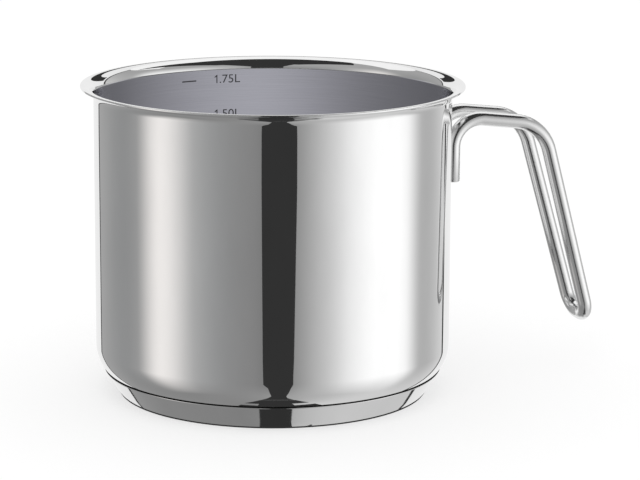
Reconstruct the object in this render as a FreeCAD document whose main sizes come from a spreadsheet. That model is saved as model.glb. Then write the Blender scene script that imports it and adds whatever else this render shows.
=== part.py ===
import FreeCAD, Part
import math
import os
import Sketcher

# Milk pan: a deep-drawn steel pot with a flared pouring rim, a steel capsule base filled with
# an aluminium heat spreader, and one bent steel rod welded to the wall as the handle.
# Millimetres. Origin at the centre of the base's underside, +Z up, +X towards the handle.

# Driving dimensions: name, value and what it measures
DRIVING_SIZES = (
    ("wall_radius", 72.5, "outer radius of the straight wall"),
    ("wall_thickness", 0.7, "steel sheet of the pot"),
    ("pan_height", 126.7, "table to the top of the rim"),
    ("corner_radius", 16.0, "outer radius where the wall meets the bottom"),
    ("flare_radius", 4.3, "outer radius of the bend that flares the rim"),
    ("lip_width", 1.0, "flat ring outside that bend"),
    ("lip_edge_radius", 0.2, "broken edges of the lip"),
    ("cap_thickness", 0.6, "steel sheet of the base capsule"),
    ("cap_inset", 9.6, "wall to the foot of the capsule's slanted side"),
    ("cap_edge_radius", 0.5, "outer bend between the capsule's underside and side"),
    ("seam_height", 10.0, "table to the top edge of the capsule"),
    ("seam_gap", 0.4, "groove between the capsule's top edge and the pot"),
    ("core_thickness", 3.6, "heat spreader, flat part"),
    ("braze_thickness", 0.1, "bonding layer on each side of the heat spreader"),
    ("wire_radius", 3.0, "handle rod"),
    ("weld_gap", 0.15, "wall to the handle rod, filled by the weld nuggets"),
    ("leg_half_spacing", 9.8, "middle plane to each leg of the handle"),
    ("leg_bottom_drop", 42.9, "rim down to the cut end of each leg"),
    ("leg_top_drop", 15.65, "rim down to the corner above each leg"),
    ("outer_reach", 42.15, "wall out to the handle's upper outer corner"),
    ("outer_drop", 20.5, "rim down to that corner"),
    ("outer_half_spacing", 11.1, "middle plane to the rod at that corner"),
    ("loop_reach", 66.05, "wall out to the closed end of the handle"),
    ("loop_height", 21.2, "table up to the closed end"),
    ("loop_half_spacing", 8.6, "middle plane to the rod at the closed end"),
    ("top_bend_radius", 11.5, "centre line of the bend above each leg"),
    ("outer_bend_radius", 17.9, "centre line of the bend at the outer corner"),
    ("loop_bend_radius", 7.9, "centre line of each bend of the closed end"),
    ("nugget_radius", 1.4, "weld nugget, across its middle"),
    ("nugget_rise", 2.8, "cut end of a leg up to its lower nugget"),
    ("nugget_pitch", 6.0, "lower to upper nugget"),
)
SHEET_NAME = "Sizes"
FULL_TURN = 360
QUARTER_TURN = 90


class Size:
    """A length known two ways: as an expression over the sheet and as its value now."""

    def __init__(self, text, value):
        self.text = text
        self.value = value

    def __add__(self, other):
        return Size("(%s + %s)" % (self.text, other.text), self.value + other.value)

    def __sub__(self, other):
        return Size("(%s - %s)" % (self.text, other.text), self.value - other.value)

    def __mul__(self, other):
        return Size("(%s * %s)" % (self.text, other.text), self.value * other.value)

    def __truediv__(self, other):
        return Size("(%s / %s)" % (self.text, other.text), self.value / other.value)

    def root(self):
        return Size("sqrt(%s)" % self.text, math.sqrt(self.value))


ONE = Size("1", 1)


def make_sheet(doc):
    """Write the driving dimensions to a sheet and hand them back by name."""
    sheet = doc.addObject("Spreadsheet::Sheet", SHEET_NAME)
    sizes = {}
    for row, (name, value, meaning) in enumerate(DRIVING_SIZES, start=1):
        cell = "B%d" % row
        sheet.set("A%d" % row, name)
        sheet.set(cell, str(value))
        sheet.setAlias(cell, name)
        sheet.set("C%d" % row, meaning)
        sizes[name] = Size("%s.%s" % (SHEET_NAME, name), value)
    doc.recompute()
    return sizes


def add_edge(sketch, start, end, arc):
    """Add one line or arc from start to end, and say which of its ends is which."""
    a = FreeCAD.Vector(start[0].value if start[0] else 0, start[1].value if start[1] else 0, 0)
    b = FreeCAD.Vector(end[0].value if end[0] else 0, end[1].value if end[1] else 0, 0)
    if arc is None:
        return sketch.addGeometry(Part.LineSegment(a, b), False), 1, 2
    radius, turn = arc
    half = (b - a) * 0.5
    left = FreeCAD.Vector(-half.y, half.x, 0).normalize()
    rise = math.sqrt(radius.value ** 2 - half.Length ** 2)
    centre = a + half + left * (rise * turn)
    first, last = (a, b) if turn > 0 else (b, a)
    begin = math.atan2(first.y - centre.y, first.x - centre.x)
    finish = math.atan2(last.y - centre.y, last.x - centre.x)
    if finish < begin:
        finish += 2 * math.pi
    circle = Part.Circle(centre, FreeCAD.Vector(0, 0, 1), radius.value)
    edge = sketch.addGeometry(Part.ArcOfCircle(circle, begin, finish), False)
    index = sketch.addConstraint(Sketcher.Constraint("Radius", edge, radius.value))
    bind(sketch, index, "radius%d" % edge, radius)
    return (edge, 1, 2) if turn > 0 else (edge, 2, 1)


def bind(sketch, index, name, size):
    """Name a constraint and tie it to the sheet."""
    sketch.renameConstraint(index, name)
    sketch.setExpression("Constraints.%s" % name, size.text)


def turned_body(doc, name, corners, arcs):
    """A body turned about Z from a closed outline of (radius, height) corners.

    A corner coordinate of None lies on the axis or on the table. arcs gives the radius and the
    turn, 1 to the left and -1 to the right, of each edge that isn't straight.
    """
    body = doc.addObject("PartDesign::Body", name)
    body.Label = name
    sketch = body.newObject("Sketcher::SketchObject", name + "_outline")
    plane = next(item for item in body.Origin.OriginFeatures if item.Role == "XZ_Plane")
    sketch.AttachmentSupport = [(plane, "")]
    sketch.MapMode = "FlatFace"
    count = len(corners)
    edges = [add_edge(sketch, corners[i], corners[(i + 1) % count], arcs.get(i)) for i in range(count)]
    for i, (edge, begin, finish) in enumerate(edges):
        following, next_begin, next_finish = edges[(i + 1) % count]
        sketch.addConstraint(Sketcher.Constraint("Coincident", edge, finish, following, next_begin))
        for kind, axis, size in zip(("DistanceX", "DistanceY"), (-2, -1), corners[i]):
            if size is None:
                sketch.addConstraint(Sketcher.Constraint("PointOnObject", edge, begin, axis))
            else:
                index = sketch.addConstraint(Sketcher.Constraint(kind, edge, begin, size.value))
                bind(sketch, index, "%s%d" % (kind, i), size)
    turned = body.newObject("PartDesign::Revolution", name + "_turned")
    turned.Profile = sketch
    turned.ReferenceAxis = (sketch, ["V_Axis"])
    turned.Angle = FULL_TURN
    sketch.Visibility = False
    body.Tip = turned
    return body


def pot_shell(doc, s):
    """Pot: flat bottom, round corner, straight wall, flare and lip, all in one sheet thickness."""
    sheet = s["wall_thickness"]
    under = shell_underside(s)
    inner_corner = s["corner_radius"] - sheet
    flat_end = s["wall_radius"] - s["corner_radius"]
    corner_top = under + s["corner_radius"]
    flare_start = s["pan_height"] - sheet - s["flare_radius"]
    lip_under = s["pan_height"] - sheet
    flare_end = s["wall_radius"] + s["flare_radius"]
    lip_end = flare_end + s["lip_width"]
    edge = s["lip_edge_radius"]
    corners = [
        (None, under),
        (flat_end, under),
        (s["wall_radius"], corner_top),
        (s["wall_radius"], flare_start),
        (flare_end, lip_under),
        (lip_end - edge, lip_under),
        (lip_end, lip_under + edge),
        (lip_end, s["pan_height"] - edge),
        (lip_end - edge, s["pan_height"]),
        (flare_end, s["pan_height"]),
        (s["wall_radius"] - sheet, flare_start),
        (s["wall_radius"] - sheet, corner_top),
        (flat_end, under + sheet),
        (None, under + sheet),
    ]
    arcs = {
        1: (s["corner_radius"], 1),
        3: (s["flare_radius"], -1),
        5: (edge, 1),
        7: (edge, 1),
        9: (s["flare_radius"] + sheet, 1),
        11: (inner_corner, -1),
    }
    return turned_body(doc, "pot_shell", corners, arcs)


def shell_underside(s):
    """Height of the pot's own bottom: capsule sheet, two bonding layers and the heat spreader."""
    return s["cap_thickness"] + s["braze_thickness"] + s["core_thickness"] + s["braze_thickness"]


def cone_line(s):
    """The capsule's slanted side: radius at the table, and its direction as (outward, up)."""
    foot = s["wall_radius"] - s["cap_inset"]
    reach = s["corner_radius"] + s["seam_gap"]
    below = shell_underside(s) + s["corner_radius"] - s["seam_height"]
    seam = s["wall_radius"] - s["corner_radius"] + (reach * reach - below * below).root()
    slant = ((seam - foot) * (seam - foot) + s["seam_height"] * s["seam_height"]).root()
    return foot, seam, (seam - foot) / slant, s["seam_height"] / slant


def offset_cone_start(s, offset, height):
    """Radius, at a height, of the line that runs inside the capsule's side at an offset."""
    foot, seam, outward, up = cone_line(s)
    return foot + height * outward / up - offset / up


def meet_corner(s, start_radius, start_height, reach):
    """Where a line beside the capsule's side meets a circle round the pot's corner centre."""
    foot, seam, outward, up = cone_line(s)
    across = start_radius - (s["wall_radius"] - s["corner_radius"])
    along = start_height - (shell_underside(s) + s["corner_radius"])
    towards = across * outward + along * up
    beyond = across * across + along * along - reach * reach
    step = (towards * towards - beyond).root() + towards
    return start_radius - step * outward, start_height - step * up


def base_cap(doc, s):
    """Capsule: a shallow pressed cup whose slanted side closes on the pot's round corner."""
    foot, seam, outward, up = cone_line(s)
    sheet = s["cap_thickness"]
    reach = s["corner_radius"] + s["seam_gap"]
    tangent = s["cap_edge_radius"] * up / (ONE + outward)
    inner_foot = offset_cone_start(s, sheet, sheet)
    inner_top = meet_corner(s, inner_foot, sheet, reach)
    corners = [
        (None, None),
        (foot - tangent, None),
        (foot + tangent * outward, tangent * up),
        (seam, s["seam_height"]),
        inner_top,
        (inner_foot, sheet),
        (None, sheet),
    ]
    arcs = {1: (s["cap_edge_radius"], 1), 3: (reach, -1)}
    return turned_body(doc, "base_cap", corners, arcs)


def core_disc(doc, s):
    """Heat spreader: fills the capsule but for the bonding layers round it."""
    layer = s["braze_thickness"]
    bottom = s["cap_thickness"] + layer
    top = shell_underside(s) - layer
    reach = s["corner_radius"] + s["seam_gap"] + layer
    foot = offset_cone_start(s, bottom, bottom)
    tip = meet_corner(s, foot, bottom, reach)
    rise = s["corner_radius"] + layer
    above = reach * reach - rise * rise
    flat_end = s["wall_radius"] - s["corner_radius"] + above.root()
    corners = [
        (None, bottom),
        (foot, bottom),
        tip,
        (flat_end, top),
        (None, top),
    ]
    return turned_body(doc, "core_disc", corners, {2: (reach, -1)})


def braze_film(doc, name, s, radius, height):
    """One thin round bonding layer on a flat side of the heat spreader."""
    film = doc.addObject("Part::Cylinder", name)
    film.Label = name
    film.setExpression("Radius", radius.text)
    film.setExpression("Height", s["braze_thickness"].text)
    film.setExpression("Placement.Base.z", height.text)
    return film


def leg_distance(s):
    """Radius from the pan's axis to the centre line of a leg, and the leg's own X."""
    radius = s["wall_radius"] + s["weld_gap"] + s["wire_radius"]
    spread = s["leg_half_spacing"]
    return radius, (radius * radius - spread * spread).root()


def rounded_path(points, radii):
    """Straight runs between the points, joined by tangent arcs at the inner ones."""
    edges = []
    last = points[0]
    for before, corner, after, radius in zip(points, points[1:], points[2:], radii):
        back = (before - corner).normalize()
        ahead = (after - corner).normalize()
        half = back.getAngle(ahead) / 2
        reach = radius / math.tan(half)
        middle = (back + ahead).normalize()
        nearest = corner + middle * (radius / math.sin(half) - radius)
        begin = corner + back * reach
        finish = corner + ahead * reach
        edges.append(Part.LineSegment(last, begin).toShape())
        edges.append(Part.Arc(begin, nearest, finish).toShape())
        last = finish
    edges.append(Part.LineSegment(last, points[-1]).toShape())
    return Part.Wire(edges)


def handle_points(s):
    """Corners of the rod's centre line, from one cut end round the closed end to the other."""
    leg_x = leg_distance(s)[1]
    side = [
        (leg_x, s["leg_half_spacing"], s["pan_height"] - s["leg_bottom_drop"]),
        (leg_x, s["leg_half_spacing"], s["pan_height"] - s["leg_top_drop"]),
        (s["wall_radius"] + s["outer_reach"], s["outer_half_spacing"], s["pan_height"] - s["outer_drop"]),
        (s["wall_radius"] + s["loop_reach"], s["loop_half_spacing"], s["loop_height"]),
    ]
    front = [FreeCAD.Vector(x.value, -y.value, z.value) for x, y, z in side]
    rear = [FreeCAD.Vector(x.value, y.value, z.value) for x, y, z in reversed(side)]
    return front + rear


def handle_wire(doc, s):
    """Handle: one round rod swept along its bent centre line."""
    bends = [s[name].value for name in ("top_bend_radius", "outer_bend_radius", "loop_bend_radius")]
    path = doc.addObject("Part::Feature", "handle_path")
    path.Shape = rounded_path(handle_points(s), bends + bends[::-1])
    section = doc.addObject("Part::Circle", "handle_section")
    section.setExpression("Radius", s["wire_radius"].text)
    section.setExpression("Placement.Base.x", leg_distance(s)[1].text)
    section.setExpression("Placement.Base.y", "-" + s["leg_half_spacing"].text)
    section.setExpression("Placement.Base.z", (s["pan_height"] - s["leg_bottom_drop"]).text)
    rod = doc.addObject("Part::Sweep", "handle_wire")
    rod.Label = "handle_wire"
    rod.Sections = [section]
    rod.Spine = (path, ["Edge%d" % (i + 1) for i in range(len(path.Shape.Edges))])
    rod.Solid = True
    rod.Frenet = False
    return rod


def weld_nuggets(doc, s):
    """Two nuggets on each leg, between the pot's wall and the rod, hollowed to fit both."""
    radius, leg_x = leg_distance(s)
    wall = doc.addObject("Part::Cylinder", "nugget_wall_side")
    wall.setExpression("Radius", s["wall_radius"].text)
    wall.setExpression("Height", s["pan_height"].text)
    leg_bottom = s["pan_height"] - s["leg_bottom_drop"]
    nuggets = []
    for side, sign in (("front", -1), ("rear", 1)):
        rod = doc.addObject("Part::Cylinder", "nugget_rod_" + side)
        rod.setExpression("Radius", s["wire_radius"].text)
        rod.setExpression("Height", (s["leg_bottom_drop"] - s["leg_top_drop"]).text)
        rod.setExpression("Placement.Base.x", leg_x.text)
        rod.setExpression("Placement.Base.y", "%d * %s" % (sign, s["leg_half_spacing"].text))
        rod.setExpression("Placement.Base.z", leg_bottom.text)
        heading = math.degrees(math.atan2(sign * s["leg_half_spacing"].value, leg_x.value))
        turn = FreeCAD.Rotation(FreeCAD.Vector(0, 0, 1), heading)
        tip = FreeCAD.Rotation(FreeCAD.Vector(0, 1, 0), QUARTER_TURN)
        for level, rise in (("lower", s["nugget_rise"]), ("upper", s["nugget_rise"] + s["nugget_pitch"])):
            blank = doc.addObject("Part::Cylinder", "nugget_%s_%s" % (side, level))
            blank.setExpression("Radius", s["nugget_radius"].text)
            blank.setExpression("Height", radius.text)
            centre = FreeCAD.Vector(0, 0, (leg_bottom + rise).value)
            blank.Placement = FreeCAD.Placement(centre, turn * tip)
            outside = doc.addObject("Part::Cut", blank.Name + "_outside")
            outside.Base = blank
            outside.Tool = wall
            nugget = doc.addObject("Part::Cut", blank.Name + "_fitted")
            nugget.Base = outside
            nugget.Tool = rod
            nuggets.append(nugget)
    group = doc.addObject("Part::Compound", "weld_nuggets")
    group.Label = "weld_nuggets"
    group.Links = nuggets
    return group


def check(doc, pieces):
    """Stop if any object failed or any piece isn't a sound shape."""
    for item in doc.Objects:
        if "Invalid" in item.State or "Error" in item.State:
            raise RuntimeError("%s failed: %s" % (item.Label, item.State))
    for piece in pieces:
        if piece.Shape.isNull() or not piece.Shape.isValid() or not piece.Shape.Solids:
            raise RuntimeError("%s has no sound solid" % piece.Label)


def main():
    doc = FreeCAD.newDocument("milk_pan")
    s = make_sheet(doc)
    core_bottom = s["cap_thickness"] + s["braze_thickness"]
    core_foot = offset_cone_start(s, core_bottom, core_bottom)
    core_top = shell_underside(s) - s["braze_thickness"]
    pot_flat = s["wall_radius"] - s["corner_radius"]
    pieces = [
        pot_shell(doc, s),
        base_cap(doc, s),
        core_disc(doc, s),
        braze_film(doc, "lower_braze_film", s, core_foot, s["cap_thickness"]),
        braze_film(doc, "upper_braze_film", s, pot_flat, core_top),
        handle_wire(doc, s),
        weld_nuggets(doc, s),
    ]
    doc.recompute()
    check(doc, pieces)
    os.makedirs("parts", exist_ok=True)
    for piece in pieces:
        piece.Shape.exportStep("parts/%s.step" % piece.Label)
        print(piece.Label, len(piece.Shape.Solids), round(piece.Shape.Volume, 2), piece.Shape.BoundBox)


main()
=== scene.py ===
import math

import bmesh
import bpy
from mathutils import Matrix, Vector


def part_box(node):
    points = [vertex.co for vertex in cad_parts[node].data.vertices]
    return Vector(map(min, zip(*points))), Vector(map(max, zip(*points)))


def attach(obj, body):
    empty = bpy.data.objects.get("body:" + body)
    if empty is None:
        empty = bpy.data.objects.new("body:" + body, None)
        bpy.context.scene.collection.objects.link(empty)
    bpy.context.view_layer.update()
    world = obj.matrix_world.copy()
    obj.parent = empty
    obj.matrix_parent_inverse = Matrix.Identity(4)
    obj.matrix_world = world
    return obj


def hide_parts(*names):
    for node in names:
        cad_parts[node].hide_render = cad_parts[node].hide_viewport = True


# Milk pan in mirror-polished steel, seen from the front and a little above.
# Everything is in metres in the part's frame: origin under the middle of the base, +Z up,
# +X towards the handle.

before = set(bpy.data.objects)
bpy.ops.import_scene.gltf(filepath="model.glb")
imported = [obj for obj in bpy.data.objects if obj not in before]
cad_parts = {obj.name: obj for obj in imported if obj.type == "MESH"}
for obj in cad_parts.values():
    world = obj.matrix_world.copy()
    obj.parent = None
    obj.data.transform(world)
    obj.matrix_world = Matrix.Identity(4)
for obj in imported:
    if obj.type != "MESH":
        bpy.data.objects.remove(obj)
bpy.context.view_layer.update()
BODY = "root"
MM = 0.001

# Sizes of the pot and the capsule base, as their solids have them
WALL_RADIUS = 72.5 * MM
WALL_SHEET = 0.7 * MM
INNER_RADIUS = WALL_RADIUS - WALL_SHEET
PAN_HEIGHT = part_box("pot_shell")[1][2]
POT_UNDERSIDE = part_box("pot_shell")[0][2]
CORNER_RADIUS = 16.0 * MM
FLARE_RADIUS = 4.3 * MM
LIP_WIDTH = 1.0 * MM
LIP_EDGE = 0.2 * MM
CAP_SHEET = 0.6 * MM
CAP_INSET = 9.6 * MM
CAP_EDGE = 0.5 * MM
FOOT_RADIUS = WALL_RADIUS - CAP_INSET
SEAM_HEIGHT = 10.0 * MM
SEAM_GAP = 0.4 * MM

# Top edge of the capsule, with its rise as a share of its width and its fall as a share of the sheet
TOP_EDGE_WIDTH = 0.12 * MM
TOP_EDGE_RISE = 0.2
TOP_EDGE_FALL = 0.6

# Sizes of the handle rod. Reaches are from the wall, drops from the rim, and bends are the centre line's.
WIRE_RADIUS = 3.0 * MM
ROD_CHAMFER = 0.35 * MM
WELD_GAP = 0.15 * MM
LEG_HALF_SPACING = 9.8 * MM
LEG_BOTTOM_DROP = 42.9 * MM
LEG_TOP_DROP = 15.65 * MM
LEG_BEND = 11.5 * MM
OUTER_REACH = 42.15 * MM
OUTER_HALF_SPACING = 11.1 * MM
OUTER_DROP = 20.5 * MM
OUTER_BEND = 17.9 * MM
LOOP_REACH = 66.05 * MM
LOOP_HALF_SPACING = 8.6 * MM
LOOP_HEIGHT = 21.2 * MM
LOOP_BEND = 7.9 * MM

# Litre scale on the inner wall, measured from the photograph. Turns are degrees from the camera's right.
SCALE_TOP = 117.7 * MM
SCALE_PITCH = 15.0 * MM
SCALE_LITRES = ("1.75", "1.50", "1.25", "1.00", "0.75", "0.50", "0.25")
TICK_TURN = (118.2, 123.6)
TICK_HEIGHT = 0.55 * MM
TEXT_LEFT_TURN = 111.8
TEXT_HEIGHT = 3.55 * MM
TEXT_WIDTH = 11.8 * MM
TEXT_LIFT = 0.25 * MM
INK_LIFT = 0.03 * MM

# The figure 1, as across and up shares of the text's height, and its step to the next figure
FIGURE_STEP = 2.75 * MM
FIGURE_ONE = ((0.36, 0.0), (0.49, 0.0), (0.49, 1.0), (0.40, 1.0), (0.14, 0.79), (0.14, 0.66), (0.36, 0.79))

# Steps of the turned and bent meshes
TURN_STEPS = 384
CORNER_STEPS = 40
WALL_STEPS = 10
FLARE_STEPS = 20
INNER_FLARE_STEPS = 24
LIP_EDGE_STEPS = 5
CAP_EDGE_STEPS = 8
ROD_SIDES = 48
BEND_STEPS = 28
TICK_STEPS = 6
TEXT_STEPS = 6
CARD_STEPS = 16

# Extra rings on flat and straight stretches, as shares of the stretch
POT_FLAT_RING = 0.98
CAP_FLAT_RINGS = (0.5, 0.985)
# The last side ring of the capsule is where the seam's painted shade begins
CAP_SIDE_RINGS = (0.3, 0.6, 0.95, 0.995)

# Camera, found by fitting the rim, the wall and the base to the photograph. Angles are in degrees.
PHOTO_WIDTH = 640
FOCAL_PIXELS = 2753.2
SENSOR = 36.0
CLIP_START = 0.01
CAMERA_DROP = 12.186
CAMERA_ROLL = 0.298
CAMERA_DISTANCE = 1126.6 * MM
CAMERA_SIDE = 19.3 * MM
CAMERA_AIM_HEIGHT = 62.1 * MM
HANDLE_TURN = 19.65

# Studio: a far round wall with a soft lamp on the left and a wide window on the right.
# Turns are in degrees from the camera, positive to its right, and tilts are seen from the pan.
CARDS_RADIUS = 3.0
CARDS_TOP = 2.6
CARDS_BOTTOM = -6.0
NEUTRAL = (1.0, 1.0, 1.0)
WARM = (1.0, 0.97, 0.95)
COOL = (0.97, 0.97, 1.06)
DARK = 0.035
WHITE = 1.0
HIGH_GREY = 0.4
BACKDROP_LEVEL = 0.9

# The wall's light as stops of turn, level and tint, in the middle, low down and high up, and the tilts
# over which these fade into each other
WALL_STOPS = (
    (-145, 0.4, NEUTRAL), (-95, 0.35, NEUTRAL), (-75, 0.95, WARM), (-50, 0.45, NEUTRAL),
    (-10, 0.25, NEUTRAL), (15, 0.3, NEUTRAL), (45, 0.8, NEUTRAL), (70, 1.15, NEUTRAL),
    (95, 1.05, NEUTRAL), (110, 0.5, NEUTRAL), (145, 0.7, NEUTRAL),
)
BRIGHTEST = 1.15
LOW_STOPS = ((-10, 0.3, NEUTRAL), (80, 0.65, NEUTRAL))
HIGH_STOPS = ((-90, HIGH_GREY, NEUTRAL), (90, HIGH_GREY, NEUTRAL))
LOW_FADE = (-50, -15)
HIGH_FADE = (0, 35)

# Upright cards before that wall, as rows of tilt, left turn and right turn
NEAR_RADIUS = 2.95
HORIZON_SHARE = 0.99
TOP_TILT = 41
BOTTOM_TILT = -63
BACKDROP = ((TOP_TILT, 147, 213), (BOTTOM_TILT, 147, 213))
RIGHT_EDGE = ((TOP_TILT, 144, 147), (BOTTOM_TILT, 144, 147))
LEFT_EDGE = ((TOP_TILT, -147, -145), (BOTTOM_TILT, -147, -145))
HORIZON = ((25, 150, 210), (17, 150, 210))
FRONT_GAP = (
    (TOP_TILT, -15, 40), (20, -6, 16), (-9, -6, 16), (-15, -5, 14), (-25, -2, 13), (-50, 0, 12),
    (-56, -3, 14), (BOTTOM_TILT, -11, 23),
)

# Level cards above and below, as shares of their height: across to the camera's right, and ahead of it
CARD_LIFT = 0.01
CEILING_BACK = ((-2.0, 0.15), (2.0, 0.15), (2.0, 2.0), (-2.0, 2.0))
CEILING_FRONT = ((-2.0, -2.0), (2.0, -2.0), (2.0, 0.15), (-2.0, 0.15))
CEILING_GAP = ((-0.3, -1.3), (-0.7, -0.2), (-0.4, 0.2), (0.4, 0.2), (0.9, 0.7), (0.8, -1.3))
GROUND_GAP = (
    (-0.1, -0.5), (0.2, -0.5), (0.27, -0.2), (0.14, -0.2), (0.14, -0.07), (0.28, -0.07), (0.28, 0.1),
    (-0.2, 0.1), (-0.2, -0.07), (-0.09, -0.07), (-0.09, -0.2), (-0.2, -0.2),
)

# Soft light inside the pan, by the turn from the middle of its back wall, positive to the left
INNER_STOPS = ((-60, 0.13, COOL), (-25, 0.24, COOL), (10, 0.42, COOL), (60, 0.16, COOL))
INNER_CARD_GAP = 3.3 * MM

# Dark card just above the floor, a little wider than the base's foot: painted shade under the pan, which
# only the steel mirrors
CONTACT_REACH = 0.6 * MM
CONTACT_LIFT = 0.1 * MM

# Surroundings, floor and lamp
WORLD_LIGHT = 1.0
FLOOR_PAINT = 0.4
FLOOR_ROUGHNESS = 0.9
FLOOR_REACH = 6.0
FLOOR_DROP = 0.1 * MM
LAMP_WATTS = 4.0
LAMP_SIZE = 1.2
LAMP_PLACE = (-0.5, -0.9, 1.5)


# Small tools for node materials

def material(name):
    """A new material, its node tree and its principled shader."""
    mat = bpy.data.materials.new(name)
    mat.use_nodes = True
    return mat, mat.node_tree, mat.node_tree.nodes["Principled BSDF"]


def metal(name):
    """The same, with a fully metallic shader."""
    mat, tree, shader = material(name)
    shader.inputs["Metallic"].default_value = 1.0
    return mat, tree, shader


def add_node(tree, kind, **settings):
    node = tree.nodes.new(kind)
    for key, value in settings.items():
        setattr(node, key, value)
    return node


def noise(tree, vector, scale, detail=2.0, roughness=0.5):
    node = add_node(tree, "ShaderNodeTexNoise")
    node.inputs["Scale"].default_value = scale
    node.inputs["Detail"].default_value = detail
    node.inputs["Roughness"].default_value = roughness
    tree.links.new(vector, node.inputs["Vector"])
    return node.outputs["Fac"]


def ramp(tree, value, stops, interpolation="LINEAR"):
    """Colour ramp over (position, colour) stops, two or more."""
    node = add_node(tree, "ShaderNodeValToRGB")
    node.color_ramp.interpolation = interpolation
    elements = node.color_ramp.elements
    while len(elements) < len(stops):
        elements.new(0.5)
    for element, (position, colour) in zip(elements, stops):
        element.position = position
        element.color = (*colour, 1)
    tree.links.new(value, node.inputs["Fac"])
    return node.outputs["Color"]


def map_range(tree, value, low, high):
    """Stretch a 0 to 1 value to low to high."""
    node = add_node(tree, "ShaderNodeMapRange")
    node.inputs["To Min"].default_value = low
    node.inputs["To Max"].default_value = high
    tree.links.new(value, node.inputs["Value"])
    return node.outputs["Result"]


def from_range(tree, value, low, high):
    """Squeeze a low to high value to 0 to 1."""
    node = add_node(tree, "ShaderNodeMapRange")
    node.inputs["From Min"].default_value = low
    node.inputs["From Max"].default_value = high
    tree.links.new(value, node.inputs["Value"])
    return node.outputs["Result"]


def bump(tree, shader, height, strength, distance):
    node = add_node(tree, "ShaderNodeBump")
    node.inputs["Strength"].default_value = strength
    node.inputs["Distance"].default_value = distance
    tree.links.new(height, node.inputs["Height"])
    tree.links.new(node.outputs["Normal"], shader.inputs["Normal"])


def object_point(tree, stretch=(1, 1, 1)):
    """The point in the part's frame, stretched along each axis."""
    coords = add_node(tree, "ShaderNodeTexCoord")
    mapping = add_node(tree, "ShaderNodeMapping")
    mapping.inputs["Scale"].default_value = stretch
    tree.links.new(coords.outputs["Object"], mapping.inputs["Vector"])
    return mapping.outputs["Vector"]


def grey(level):
    return (level, level, level)


def shade(colour, share):
    """A colour made darker or lighter, up to white."""
    return tuple(min(1.0, part * share) for part in colour)


def vary(tree, shader, value, shades, roughness):
    """Let a 0 to 1 value drive the shader's colour, and its roughness from low to high."""
    tree.links.new(ramp(tree, value, shades), shader.inputs["Base Color"])
    tree.links.new(map_range(tree, value, *roughness), shader.inputs["Roughness"])


# The finishes

def polished_steel(name, colour, roughness, haze):
    """Mirror-polished steel with faint smears and a very slight waviness."""
    mat, tree, shader = metal(name)
    smear = noise(tree, object_point(tree, (1, 1, 0.35)), scale=60.0, detail=4.0, roughness=0.6)
    shades = [(0.3, shade(colour, 0.97)), (0.7, shade(colour, 1.02))]
    vary(tree, shader, smear, shades, (roughness, roughness + haze))
    waves = noise(tree, object_point(tree), scale=35.0, detail=1.0)
    bump(tree, shader, waves, strength=0.02, distance=0.4 * MM)
    return mat


def satin_steel(name, colour, roughness):
    """Steel with fine level polishing lines, as inside a drawn pot."""
    mat, tree, shader = metal(name)
    lines = noise(tree, object_point(tree, (6, 6, 900)), scale=6.0, detail=3.0, roughness=0.6)
    shades = [(0.35, shade(colour, 0.96)), (0.65, shade(colour, 1.03))]
    vary(tree, shader, lines, shades, (roughness * 0.75, roughness * 1.3))
    bump(tree, shader, lines, strength=0.05, distance=0.1 * MM)
    return mat


def turned_steel(name, colour):
    """Steel with fine turned rings, for the capsule's underside."""
    mat, tree, shader = metal(name)
    wave = add_node(tree, "ShaderNodeTexWave", wave_type="RINGS", rings_direction="Z")
    wave.inputs["Scale"].default_value = 500.0
    wave.inputs["Distortion"].default_value = 1.5
    wave.inputs["Detail"].default_value = 3.0
    tree.links.new(object_point(tree), wave.inputs["Vector"])
    rings = wave.outputs["Fac"]
    shades = [(0.0, shade(colour, 0.85)), (1.0, shade(colour, 1.05))]
    vary(tree, shader, rings, shades, (0.22, 0.34))
    bump(tree, shader, rings, strength=0.15, distance=0.1 * MM)
    return mat


def dull_metal(name, colour, roughness, scale):
    """Uneven dull metal, for the layers inside the base and the weld nuggets, and very dark as painted
    shade in the seam's groove.
    """
    mat, tree, shader = metal(name)
    patches = noise(tree, object_point(tree), scale, detail=5.0, roughness=0.65)
    shades = [(0.3, shade(colour, 0.8)), (0.7, colour)]
    vary(tree, shader, patches, shades, (roughness * 0.8, roughness * 1.2))
    bump(tree, shader, patches, strength=0.2, distance=0.1 * MM)
    return mat


def etched_ink(name):
    """Dark grey etched marking with a little unevenness."""
    mat, tree, shader = material(name)
    speckle = noise(tree, object_point(tree), scale=4000.0, detail=3.0)
    shades = [(0.3, (0.035, 0.035, 0.04)), (0.7, (0.075, 0.075, 0.08))]
    vary(tree, shader, speckle, shades, (0.45, 0.65))
    return mat


# Small tools for meshes

def new_piece(name, mesh_maker, materials):
    """An object from a function that fills a bmesh, smooth shaded."""
    bm = bmesh.new()
    mesh_maker(bm)
    bmesh.ops.recalc_face_normals(bm, faces=bm.faces)
    mesh = bpy.data.meshes.new(name)
    bm.to_mesh(mesh)
    bm.free()
    mesh.shade_smooth()
    for mat in materials:
        mesh.materials.append(mat)
    piece = bpy.data.objects.new(name, mesh)
    bpy.context.scene.collection.objects.link(piece)
    return piece


def spread(first, last, steps):
    """Evenly spaced values, both ends included."""
    return [first + (last - first) * i / steps for i in range(steps + 1)]


def full_turn(steps):
    """Evenly spaced turns round a circle, in radians."""
    return [2 * math.pi * i / steps for i in range(steps)]


def arc(centre, radius, begin, finish, steps):
    """Points on an arc in the (radius, height) plane, angles in degrees, both ends included."""
    angles = [math.radians(a) for a in spread(begin, finish, steps)]
    return [(centre[0] + radius * math.cos(a), centre[1] + radius * math.sin(a)) for a in angles]


def level_row(bm, radius, height, turns):
    """A level row of points round Z, at turns in radians."""
    return [bm.verts.new((radius * math.cos(t), radius * math.sin(t), height)) for t in turns]


def bridge(bm, first, second):
    """Faces between two rows of points."""
    for corners in zip(first, first[1:], second[1:], second):
        bm.faces.new(corners)


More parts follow.
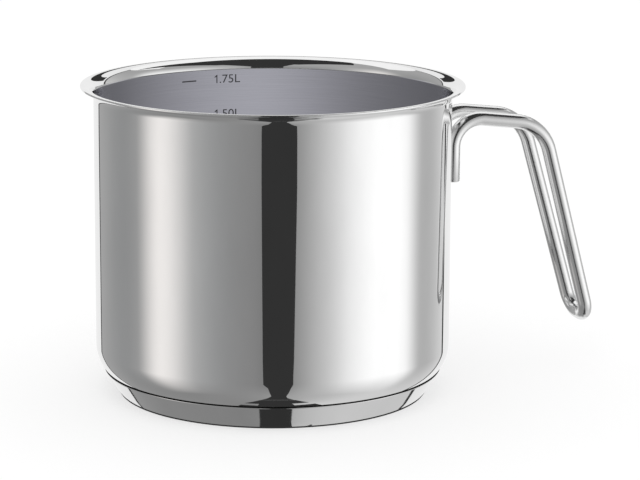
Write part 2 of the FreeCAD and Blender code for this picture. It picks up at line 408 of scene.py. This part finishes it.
def turn_outline(bm, outline, slots):
    """Turn (radius, height) points about Z. slots gives each stretch's material number."""
    rings = []
    for radius, height in outline:
        on_axis = radius == 0
        rings.append(level_row(bm, radius, height, [0.0] if on_axis else full_turn(TURN_STEPS)))
    for low, high, slot in zip(rings, rings[1:], slots):
        for i in range(TURN_STEPS):
            j = (i + 1) % TURN_STEPS
            corners = [low[i % len(low)], low[j % len(low)], high[j % len(high)], high[i % len(high)]]
            face = bm.faces.new(list(dict.fromkeys(corners)))
            face.material_index = slot


# The pot

def pot_outline():
    """Outside from the axis to the lip, then inside back to the axis, with each stretch's material."""
    corner = (WALL_RADIUS - CORNER_RADIUS, POT_UNDERSIDE + CORNER_RADIUS)
    flare = (WALL_RADIUS + FLARE_RADIUS, PAN_HEIGHT - WALL_SHEET - FLARE_RADIUS)
    flat_ring = corner[0] * POT_FLAT_RING
    edge_radius = flare[0] + LIP_WIDTH - LIP_EDGE
    low_edge = (edge_radius, PAN_HEIGHT - WALL_SHEET + LIP_EDGE)
    high_edge = (edge_radius, PAN_HEIGHT - LIP_EDGE)
    wall_heights = spread(corner[1], flare[1], WALL_STEPS)[1:-1]
    outside = [(0, POT_UNDERSIDE), (flat_ring, POT_UNDERSIDE)]
    outside += arc(corner, CORNER_RADIUS, -90, 0, CORNER_STEPS)
    outside += [(WALL_RADIUS, height) for height in wall_heights]
    outside += arc(flare, FLARE_RADIUS, 180, 90, FLARE_STEPS)
    outside += arc(low_edge, LIP_EDGE, -90, 0, LIP_EDGE_STEPS)
    outside += arc(high_edge, LIP_EDGE, 0, 90, LIP_EDGE_STEPS)
    inside = arc(flare, FLARE_RADIUS + WALL_SHEET, 90, 180, INNER_FLARE_STEPS)
    inside += [(INNER_RADIUS, height) for height in reversed(wall_heights)]
    inside += arc(corner, CORNER_RADIUS - WALL_SHEET, 0, -90, CORNER_STEPS)
    inside += [(flat_ring, POT_UNDERSIDE + WALL_SHEET), (0, POT_UNDERSIDE + WALL_SHEET)]
    polished = len(outside) + INNER_FLARE_STEPS
    satin = len(inside) - 1 - INNER_FLARE_STEPS
    return outside + inside, [0] * polished + [1] * satin


def make_pot(outside_steel, inside_steel):
    outline, slots = pot_outline()
    pot = new_piece("pot", lambda bm: turn_outline(bm, outline, slots), [outside_steel, inside_steel])
    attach(pot, BODY)
    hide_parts("pot_shell")


# The capsule base

def cone_side():
    """Seam radius of the capsule's slanted side, and the side's direction outward and up."""
    below = POT_UNDERSIDE + CORNER_RADIUS - SEAM_HEIGHT
    seam = WALL_RADIUS - CORNER_RADIUS + math.sqrt((CORNER_RADIUS + SEAM_GAP) ** 2 - below ** 2)
    slant = math.hypot(seam - FOOT_RADIUS, SEAM_HEIGHT)
    return seam, (seam - FOOT_RADIUS) / slant, SEAM_HEIGHT / slant


def cap_outline():
    """Underside, edge bend, slanted side and top edge, then the inside back to the axis."""
    seam, outward, up = cone_side()
    flat_end = FOOT_RADIUS - CAP_EDGE * up / (1 + outward)
    lean = math.degrees(math.atan2(outward, up))
    outline = [(0, 0)] + [(flat_end * share, 0) for share in CAP_FLAT_RINGS]
    underside = len(outline) + 1
    outline += arc((flat_end, CAP_EDGE), CAP_EDGE, -90, -lean, CAP_EDGE_STEPS)
    for share in CAP_SIDE_RINGS:
        outline.append((FOOT_RADIUS + (seam - FOOT_RADIUS) * share, SEAM_HEIGHT * share))
    side = len(outline) - 1 - underside
    outline.append((seam - TOP_EDGE_WIDTH * up, SEAM_HEIGHT + TOP_EDGE_WIDTH * outward * TOP_EDGE_RISE))
    outline.append((seam - CAP_SHEET * up, SEAM_HEIGHT - CAP_SHEET * TOP_EDGE_FALL))
    inner_foot = FOOT_RADIUS + CAP_SHEET * outward / up - CAP_SHEET / up
    outline += [(inner_foot, CAP_SHEET), (0, CAP_SHEET)]
    inside = len(outline) - 1 - underside - side
    # The top edge and the inside take the seam's very dark metal: painted shade for the groove between
    # capsule and pot
    return outline, [1] * underside + [0] * side + [2] * inside


def make_base(side_steel, under_steel, seam_shade_steel):
    outline, slots = cap_outline()
    finishes = [side_steel, under_steel, seam_shade_steel]
    base = new_piece("capsule_base", lambda bm: turn_outline(bm, outline, slots), finishes)
    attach(base, BODY)
    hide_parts("base_cap")


# The handle

def handle_corners():
    """Corners of the rod's centre line and the radius of the bend at each inner one."""
    leg_radius = WALL_RADIUS + WELD_GAP + WIRE_RADIUS
    leg_x = math.sqrt(leg_radius ** 2 - LEG_HALF_SPACING ** 2)
    side = [
        (leg_x, LEG_HALF_SPACING, PAN_HEIGHT - LEG_BOTTOM_DROP),
        (leg_x, LEG_HALF_SPACING, PAN_HEIGHT - LEG_TOP_DROP),
        (WALL_RADIUS + OUTER_REACH, OUTER_HALF_SPACING, PAN_HEIGHT - OUTER_DROP),
        (WALL_RADIUS + LOOP_REACH, LOOP_HALF_SPACING, LOOP_HEIGHT),
    ]
    front = [Vector((x, -y, z)) for x, y, z in side]
    rear = [Vector(corner) for corner in reversed(side)]
    bends = [LEG_BEND, OUTER_BEND, LOOP_BEND]
    return front + rear, bends + bends[::-1]


def rod_line():
    """Centre line of the bent rod: straight runs and tangent bends."""
    corners, bends = handle_corners()
    points = [corners[0]]
    for before, corner, after, radius in zip(corners, corners[1:], corners[2:], bends):
        back = (before - corner).normalized()
        ahead = (after - corner).normalized()
        half = back.angle(ahead) / 2
        centre = corner + (back + ahead).normalized() * (radius / math.sin(half))
        outward = (corner + back * (radius / math.tan(half)) - centre) / radius
        turns = spread(0, math.pi - 2 * half, BEND_STEPS)
        points += [centre + radius * (outward * math.cos(t) - back * math.sin(t)) for t in turns]
    return points + [corners[-1]]


def sweep_rod(bm):
    """A round rod along its centre line, with its cut ends broken by a small chamfer."""
    line = rod_line()
    start, end = (line[1] - line[0]).normalized(), (line[-1] - line[-2]).normalized()
    line = [line[0], line[0] + start * ROD_CHAMFER] + line[1:-1] + [line[-1] - end * ROD_CHAMFER, line[-1]]
    headings = [start] + [(b - a).normalized() for a, b in zip(line, line[2:])] + [end]
    cut_end = WIRE_RADIUS - ROD_CHAMFER
    radii = [cut_end] + [WIRE_RADIUS] * (len(line) - 2) + [cut_end]
    turns = full_turn(ROD_SIDES)
    across = start.orthogonal().normalized()
    rings = []
    for point, heading, radius in zip(line, headings, radii):
        across = (across - heading * across.dot(heading)).normalized()
        other = heading.cross(across)
        spokes = [across * math.cos(t) + other * math.sin(t) for t in turns]
        rings.append([bm.verts.new(point + radius * spoke) for spoke in spokes])
    for low, high in zip(rings, rings[1:]):
        bridge(bm, low + low[:1], high + high[:1])
    for ring in (rings[0], rings[-1]):
        bm.faces.new(ring)


def make_handle(steel):
    handle = new_piece("handle_rod", sweep_rod, [steel])
    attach(handle, BODY)
    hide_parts("handle_wire")


# The litre scale

def on_wall(turn, height):
    """A point just off the inner wall, at a turn in degrees from the camera's right."""
    angle = math.radians(turn - HANDLE_TURN)
    radius = INNER_RADIUS - INK_LIFT
    return radius * math.cos(angle), radius * math.sin(angle), height


def text_mesh(words):
    """A flat mesh of the words, its width and height in its own units."""
    curve = bpy.data.curves.new(words, "FONT")
    curve.body = words
    curve.resolution_u = TEXT_STEPS
    holder = bpy.data.objects.new(words, curve)
    bpy.context.scene.collection.objects.link(holder)
    bpy.context.view_layer.update()
    flat = bpy.data.meshes.new_from_object(holder.evaluated_get(bpy.context.evaluated_depsgraph_get()))
    bpy.data.objects.remove(holder)
    bpy.data.curves.remove(curve)
    return flat


def lay_on_wall(bm, flat, left_turn, low, width, height):
    """Bend a flat text mesh onto the inner wall, with its first letter at left_turn."""
    xs = [v.co.x for v in flat.vertices]
    ys = [v.co.y for v in flat.vertices]
    across = width / (max(xs) - min(xs))
    upward = height / (max(ys) - min(ys))
    verts = []
    for v in flat.vertices:
        turn = left_turn - math.degrees((v.co.x - min(xs)) * across / INNER_RADIUS)
        verts.append(bm.verts.new(on_wall(turn, low + (v.co.y - min(ys)) * upward)))
    for polygon in flat.polygons:
        bm.faces.new([verts[i] for i in polygon.vertices])


def lay_one(bm, left_turn, low, height):
    """The figure 1: an upright bar with a flag, as a flat outline bent onto the wall."""
    verts = []
    for across, upward in FIGURE_ONE:
        turn = left_turn - math.degrees(across * height / INNER_RADIUS)
        verts.append(bm.verts.new(on_wall(turn, low + upward * height)))
    bm.faces.new(verts)


def lay_tick(bm, height):
    """One level dash of the scale, in short steps so that it follows the wall."""
    turns = spread(*TICK_TURN, TICK_STEPS)
    low = [bm.verts.new(on_wall(t, height - TICK_HEIGHT / 2)) for t in turns]
    high = [bm.verts.new(on_wall(t, height + TICK_HEIGHT / 2)) for t in turns]
    bridge(bm, low, high)


def make_scale(ink):
    """A dash and a figure for each quarter litre, down the inner wall."""
    def fill(bm):
        for step, litres in enumerate(SCALE_LITRES):
            height = SCALE_TOP - SCALE_PITCH * step
            lay_tick(bm, height)
            low = height - TEXT_HEIGHT / 2 + TEXT_LIFT
            words, left, width = litres + "L", TEXT_LEFT_TURN, TEXT_WIDTH
            if words.startswith("1"):
                lay_one(bm, left, low, TEXT_HEIGHT)
                words, width = words[1:], width - FIGURE_STEP
                left -= math.degrees(FIGURE_STEP / INNER_RADIUS)
            lay_on_wall(bm, text_mesh(words), left, low, width, TEXT_HEIGHT)
    scale = new_piece("litre_scale", fill, [ink])
    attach(scale, BODY)


# The welds and the inside of the base

def dress_inner_nodes(weld, core, braze):
    """Give the nodes that stay as they are a finish of their own."""
    finishes = {
        "weld_nuggets": weld,
        "core_disc": core,
        "lower_braze_film": braze,
        "upper_braze_film": braze,
    }
    for name, finish in finishes.items():
        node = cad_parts[name]
        for slot in node.material_slots:
            slot.material = finish


# The studio's lights

def emission(name):
    """A new material with only an emission shader, its node tree and that shader."""
    mat = bpy.data.materials.new(name)
    mat.use_nodes = True
    tree = mat.node_tree
    tree.nodes.remove(tree.nodes["Principled BSDF"])
    shader = add_node(tree, "ShaderNodeEmission")
    tree.links.new(shader.outputs["Emission"], tree.nodes["Material Output"].inputs["Surface"])
    return mat, tree, shader


def card_point(tree):
    """X, Y and Z of a point on a card, in the card's own axes."""
    coords = add_node(tree, "ShaderNodeTexCoord")
    split = add_node(tree, "ShaderNodeSeparateXYZ")
    tree.links.new(coords.outputs["Object"], split.inputs["Vector"])
    return split.outputs


def card_turn(tree, point):
    """Turn round the pan as a 0 to 1 share, 0.5 along the card's own X."""
    turn = add_node(tree, "ShaderNodeMath", operation="ARCTAN2")
    tree.links.new(point["Y"], turn.inputs[0])
    tree.links.new(point["X"], turn.inputs[1])
    return from_range(tree, turn.outputs["Value"], -math.pi, math.pi)


def wall_tilt(tree, point):
    """Tilt of a point on the far wall, seen from the pan."""
    tilt = add_node(tree, "ShaderNodeMath", operation="ARCTAN2")
    tree.links.new(point["Z"], tilt.inputs[0])
    tilt.inputs[1].default_value = CARDS_RADIUS
    return tilt.outputs["Value"]


def turn_ramp(tree, share, turn_stops):
    """Soft light by its turn in degrees, from -180 to 180, each stop with its level and tint."""
    stops = [((turn + 180) / 360, tuple(level * part / BRIGHTEST for part in tint))
             for turn, level, tint in turn_stops]
    return ramp(tree, share, stops, "CARDINAL")


def fade(tree, tilt, span, first, second):
    """From the first light to the second one over a span of tilts."""
    node = add_node(tree, "ShaderNodeMix", data_type="RGBA")
    sockets = {item.identifier: item for item in [*node.inputs, *node.outputs]}
    tree.links.new(from_range(tree, tilt, *(math.radians(t) for t in span)), sockets["Factor_Float"])
    tree.links.new(first, sockets["A_Color"])
    tree.links.new(second, sockets["B_Color"])
    return sockets["Result_Color"]


def wall_light(name):
    """The studio's round wall by its turn from the camera, plainer low down and a plain grey high up."""
    mat, tree, shader = emission(name)
    point = card_point(tree)
    share, tilt = card_turn(tree, point), wall_tilt(tree, point)
    low, middle, high = (turn_ramp(tree, share, stops) for stops in (LOW_STOPS, WALL_STOPS, HIGH_STOPS))
    wall = fade(tree, tilt, HIGH_FADE, fade(tree, tilt, LOW_FADE, low, middle), high)
    tree.links.new(wall, shader.inputs["Color"])
    shader.inputs["Strength"].default_value = BRIGHTEST
    return mat


def inner_light(name):
    """Light that the inner wall mirrors, strongest near the middle of the back wall."""
    mat, tree, shader = emission(name)
    share = card_turn(tree, card_point(tree))
    tree.links.new(turn_ramp(tree, share, INNER_STOPS), shader.inputs["Color"])
    shader.inputs["Strength"].default_value = BRIGHTEST
    return mat


def flat_light(name, level):
    mat, tree, shader = emission(name)
    shader.inputs["Color"].default_value = (*grey(level), 1)
    return mat


# The studio's cards

def turned_card(outline):
    """A card from (radius, height) points turned round the pan."""
    return lambda bm: turn_outline(bm, outline, [0] * (len(outline) - 1))


def upright_card(rows, share=1.0):
    """A card bent round the pan just inside the far wall, from rows of tilt, left turn and right turn."""
    radius = NEAR_RADIUS * share

    def fill(bm):
        lines = []
        for tilt, left, right in rows:
            turns = [math.radians(t) for t in spread(left, right, CARD_STEPS)]
            height = radius * math.tan(math.radians(tilt))
            lines.append(level_row(bm, radius, height, turns))
        for upper, lower in zip(lines, lines[1:]):
            bridge(bm, upper, lower)
    return fill


def flat_card(outline, height):
    """A level card at a height, its corners given as shares of that height, with the camera along +X."""
    def fill(bm):
        corners = [(-ahead * abs(height), across * abs(height)) for across, ahead in outline]
        bm.faces.new([bm.verts.new((x, y, height)) for x, y in corners])
    return fill


def only_reflected(obj):
    """A card that shows in reflections and nowhere else."""
    obj.visible_camera = False
    obj.visible_diffuse = False
    obj.visible_shadow = False
    obj.visible_transmission = False


def make_cards():
    """Cards all round, above, below and inside, for the polished steel to mirror."""
    far = [(0, CARDS_BOTTOM), (CARDS_RADIUS, CARDS_BOTTOM), (CARDS_RADIUS, CARDS_TOP)]
    contact_shade = [(0, CONTACT_LIFT), (FOOT_RADIUS + CONTACT_REACH, CONTACT_LIFT)]
    inner_heights = (POT_UNDERSIDE + CORNER_RADIUS, PAN_HEIGHT - WALL_SHEET - FLARE_RADIUS)
    inner = [(INNER_RADIUS - INNER_CARD_GAP, height) for height in inner_heights]
    dark, white = flat_light("dark_light", DARK), flat_light("white_light", WHITE)
    cards = {
        "far_wall": (turned_card(far), wall_light("far_wall_light")),
        "backdrop": (upright_card(BACKDROP), flat_light("backdrop_light", BACKDROP_LEVEL)),
        "right_edge": (upright_card(RIGHT_EDGE), dark),
        "left_edge": (upright_card(LEFT_EDGE), dark),
        "horizon": (upright_card(HORIZON, HORIZON_SHARE), dark),
        "front_gap": (upright_card(FRONT_GAP), dark),
        "ceiling_back": (flat_card(CEILING_BACK, CARDS_TOP), white),
        "ceiling_front": (flat_card(CEILING_FRONT, CARDS_TOP), flat_light("grey_light", HIGH_GREY)),
        "ceiling_gap": (flat_card(CEILING_GAP, CARDS_TOP - CARD_LIFT), dark),
        "ground_gap": (flat_card(GROUND_GAP, CARDS_BOTTOM + CARD_LIFT), dark),
        # Painted shade under the pan, seen only in the steel's reflections
        "contact_shade_card": (turned_card(contact_shade), dark),
        "inner_cards": (turned_card(inner), inner_light("inner_card_light")),
    }
    # Each card's own X axis is turned to the camera, and the inner card's away from it
    facing = math.radians(-90 - HANDLE_TURN)
    for name, (fill, light) in cards.items():
        card = new_piece(name, fill, [light])
        card.data.shade_flat()
        card.rotation_euler.z = facing
        only_reflected(card)
    bpy.data.objects["inner_cards"].rotation_euler.z += math.pi


# The floor, the surroundings, the lamp and the camera

def shown_rays(tree):
    """1 where the background shows: to the camera, in metal and through glass."""
    rays = add_node(tree, "ShaderNodeLightPath")
    seen = add_node(tree, "ShaderNodeMath", operation="MAXIMUM")
    shown = add_node(tree, "ShaderNodeMath", operation="MAXIMUM")
    tree.links.new(rays.outputs["Is Camera Ray"], seen.inputs[0])
    tree.links.new(rays.outputs["Is Glossy Ray"], seen.inputs[1])
    tree.links.new(seen.outputs["Value"], shown.inputs[0])
    tree.links.new(rays.outputs["Is Transmission Ray"], shown.inputs[1])
    return shown.outputs["Value"]


def make_floor():
    """Pale floor that keeps the pan's soft shadow. What its paint lacks of white shows as background."""
    mat, tree, shader = material("floor_white")
    shader.inputs["Base Color"].default_value = (*grey(FLOOR_PAINT), 1)
    shader.inputs["Emission Color"].default_value = (*grey(WHITE), 1)
    glow = map_range(tree, shown_rays(tree), 0.0, WHITE - FLOOR_PAINT)
    tree.links.new(glow, shader.inputs["Emission Strength"])
    shader.inputs["Roughness"].default_value = FLOOR_ROUGHNESS
    shader.inputs["Specular IOR Level"].default_value = 0.0

    def fill(bm):
        bmesh.ops.create_grid(bm, x_segments=1, y_segments=1, size=FLOOR_REACH)
    floor = new_piece("floor", fill, [mat])
    floor.location.z = -FLOOR_DROP
    floor.visible_glossy = False


def make_world():
    """White surroundings, seen by the camera and lighting the floor alike."""
    world = bpy.data.worlds.new("studio")
    bpy.context.scene.world = world
    world.use_nodes = True
    back = world.node_tree.nodes["Background"]
    back.inputs["Color"].default_value = (*grey(WHITE), 1)
    back.inputs["Strength"].default_value = WORLD_LIGHT


def make_lamp():
    """One large soft lamp above and to the left."""
    lamp = bpy.data.lights.new("soft_lamp", "AREA")
    lamp.shape = "DISK"
    lamp.size = LAMP_SIZE
    lamp.energy = LAMP_WATTS
    holder = bpy.data.objects.new("soft_lamp", lamp)
    holder.location = LAMP_PLACE
    holder.rotation_euler = (-Vector(LAMP_PLACE)).to_track_quat("-Z", "Y").to_euler()
    holder.visible_glossy = False
    bpy.context.scene.collection.objects.link(holder)


def make_camera():
    """Camera at the photograph's place, first facing +Y and then turned by the handle's angle."""
    turn = Matrix.Rotation(math.radians(-HANDLE_TURN), 3, "Z")
    drop, roll = math.radians(CAMERA_DROP), math.radians(CAMERA_ROLL)
    ahead = Vector((0, math.cos(drop), -math.sin(drop)))
    level, upright = Vector((1, 0, 0)), Vector((0, math.sin(drop), math.cos(drop)))
    right = level * math.cos(roll) + upright * math.sin(roll)
    up = upright * math.cos(roll) - level * math.sin(roll)
    place = Vector((CAMERA_SIDE, 0, CAMERA_AIM_HEIGHT)) - ahead * CAMERA_DISTANCE
    axes = Matrix((right, up, -ahead)).transposed()
    data = bpy.data.cameras.new("camera")
    data.sensor_width = SENSOR
    data.lens = FOCAL_PIXELS / PHOTO_WIDTH * SENSOR
    data.clip_start = CLIP_START
    camera = bpy.data.objects.new("camera", data)
    camera.matrix_world = Matrix.Translation(turn @ place) @ (turn @ axes).to_4x4()
    bpy.context.scene.collection.objects.link(camera)
    bpy.context.scene.camera = camera


def main():
    bpy.context.scene.view_settings.view_transform = "Standard"
    outside = polished_steel("mirror_steel", grey(0.88), roughness=0.012, haze=0.02)
    inside = satin_steel("satin_steel", (0.84, 0.84, 0.86), roughness=0.16)
    make_pot(outside, inside)
    side = polished_steel("capsule_steel", grey(0.80), roughness=0.03, haze=0.03)
    underside = turned_steel("turned_steel", grey(0.7))
    # The seam's very dark metal is painted shade in the groove between the capsule and the pot
    make_base(side, underside, dull_metal("seam_painted_shade", grey(0.1), roughness=0.6, scale=800.0))
    make_handle(polished_steel("rod_steel", grey(0.86), roughness=0.13, haze=0.05))
    make_scale(etched_ink("scale_ink"))
    weld = dull_metal("weld_steel", (0.5, 0.49, 0.48), roughness=0.35, scale=900.0)
    core = dull_metal("core_aluminium", (0.8, 0.8, 0.81), roughness=0.4, scale=120.0)
    braze = dull_metal("braze_layer", (0.6, 0.6, 0.58), roughness=0.55, scale=200.0)
    dress_inner_nodes(weld, core, braze)
    make_cards()
    make_floor()
    make_world()
    make_lamp()
    make_camera()


main()
